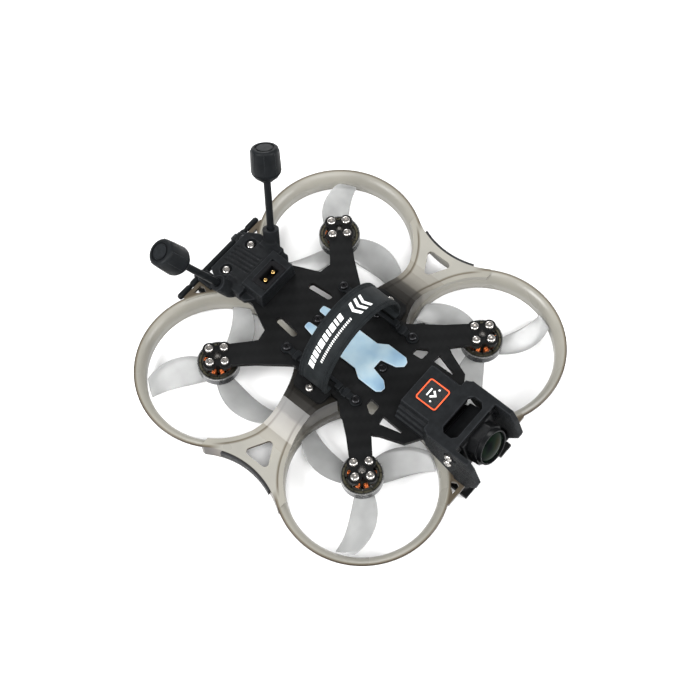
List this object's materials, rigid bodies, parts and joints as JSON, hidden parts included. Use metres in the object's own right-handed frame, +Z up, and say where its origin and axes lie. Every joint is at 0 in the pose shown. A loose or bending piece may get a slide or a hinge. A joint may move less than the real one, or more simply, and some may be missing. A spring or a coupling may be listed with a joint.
{
  "type": "ducted fpv racing drone",
  "caption": "Ducted first-person-view racing quadcopter with motors hung under a carbon plate, smoke-grey ring ducts, tilting nose camera, battery strap and rear antennas.",
  "frame": {"origin": "on the flat belly, under the centre of the four motors", "axes": "+Z up out of the deck, camera looks along -Y, the aircraft's left is +X"},
  "size_m": [0.155, 0.1611, 0.0692],
  "materials": {
    "carbon": "matt carbon fibre plate",
    "black_alloy": "black anodised aluminium",
    "smoke_plastic": "translucent smoke grey polycarbonate",
    "black_foam": "matt soft strip",
    "blue_silicone": "pale blue translucent grip pad",
    "strap_webbing": "rubberised woven webbing",
    "charcoal_rubber": "satin moulded rubber",
    "charcoal_print": "satin layer-printed elastomer",
    "bright_steel": "polished stainless steel",
    "black_steel": "black oxide steel",
    "circuit_board": "solder mask on glass fibre",
    "capacitor_sleeve": "shrink sleeve on an aluminium can",
    "wire_silicone": "silicone insulated wire",
    "lead_silicone": "silicone insulated lead",
    "black_nylon": "moulded nylon",
    "gold": "gold plated",
    "camera_shell": "satin black shell",
    "lens_glass": "coated glass",
    "stator_steel": "coated laminations",
    "copper_wire": "enamelled copper",
    "gunmetal": "gunmetal anodised aluminium with a bright machined rim",
    "magnet_nickel": "nickel plated magnets",
    "clear_grey_plastic": "translucent pale grey polycarbonate"
  },
  "bodies": {
    "frame": {"top_plate": "carbon", "belly_plate": "carbon", "posts": "black_alloy", "duct_left": "smoke_plastic", "duct_right": "smoke_plastic", "edge_strips": "black_foam", "battery_pad": "blue_silicone", "battery_strap": "strap_webbing", "strap_rails": "charcoal_rubber", "steel_screws": "bright_steel", "black_screws": "black_steel", "flight_board": "circuit_board", "video_unit": "black_alloy", "capacitor": "capacitor_sleeve", "motor_wires": "wire_silicone", "battery_leads": "lead_silicone", "rear_mount": "charcoal_print", "plug_housing": "black_nylon", "plug_pins": "gold", "antenna_left": "charcoal_rubber", "antenna_right": "charcoal_rubber", "receiver_rod": "charcoal_rubber", "camera_cage": "charcoal_print", "motor_bearings": "bright_steel", "motor_base_rear_left": "black_alloy", "stator_rear_left": "stator_steel", "windings_rear_left": "copper_wire", "motor_base_front_left": "black_alloy", "stator_front_left": "stator_steel", "windings_front_left": "copper_wire", "motor_base_front_right": "black_alloy", "stator_front_right": "stator_steel", "windings_front_right": "copper_wire", "motor_base_rear_right": "black_alloy", "stator_rear_right": "stator_steel", "windings_rear_right": "copper_wire"},
    "camera": {"camera_body": "camera_shell", "lens_barrel": "camera_shell", "lens_glass": "lens_glass", "camera_screws": "bright_steel"},
    "rotor_rear_left": {"bell_rear_left": "gunmetal", "magnets_rear_left": "magnet_nickel", "shaft_rear_left": "bright_steel", "prop_rear_left": "clear_grey_plastic", "prop_screws_rear_left": "black_steel"},
    "rotor_front_left": {"bell_front_left": "gunmetal", "magnets_front_left": "magnet_nickel", "shaft_front_left": "bright_steel", "prop_front_left": "clear_grey_plastic", "prop_screws_front_left": "black_steel"},
    "rotor_front_right": {"bell_front_right": "gunmetal", "magnets_front_right": "magnet_nickel", "shaft_front_right": "bright_steel", "prop_front_right": "clear_grey_plastic", "prop_screws_front_right": "black_steel"},
    "rotor_rear_right": {"bell_rear_right": "gunmetal", "magnets_rear_right": "magnet_nickel", "shaft_rear_right": "bright_steel", "prop_rear_right": "clear_grey_plastic", "prop_screws_rear_right": "black_steel"}
  },
  "joints": [
    {"name": "spin_rear_left", "type": "hinge", "parent": "frame", "child": "rotor_rear_left", "pos_m": [0.0402, 0.0402, 0.0079], "axis": [0, 0, 1], "continuous": true},
    {"name": "spin_front_left", "type": "hinge", "parent": "frame", "child": "rotor_front_left", "pos_m": [0.0402, -0.0402, 0.0079], "axis": [0, 0, 1], "continuous": true},
    {"name": "spin_front_right", "type": "hinge", "parent": "frame", "child": "rotor_front_right", "pos_m": [-0.0402, -0.0402, 0.0079], "axis": [0, 0, 1], "continuous": true},
    {"name": "spin_rear_right", "type": "hinge", "parent": "frame", "child": "rotor_rear_right", "pos_m": [-0.0402, 0.0402, 0.0079], "axis": [0, 0, 1], "continuous": true},
    {"name": "camera_tilt", "type": "hinge", "parent": "frame", "child": "camera", "pos_m": [0, -0.0657, 0.0255], "axis": [1, 0, 0], "range_deg": [-10, 20]}
  ]
}
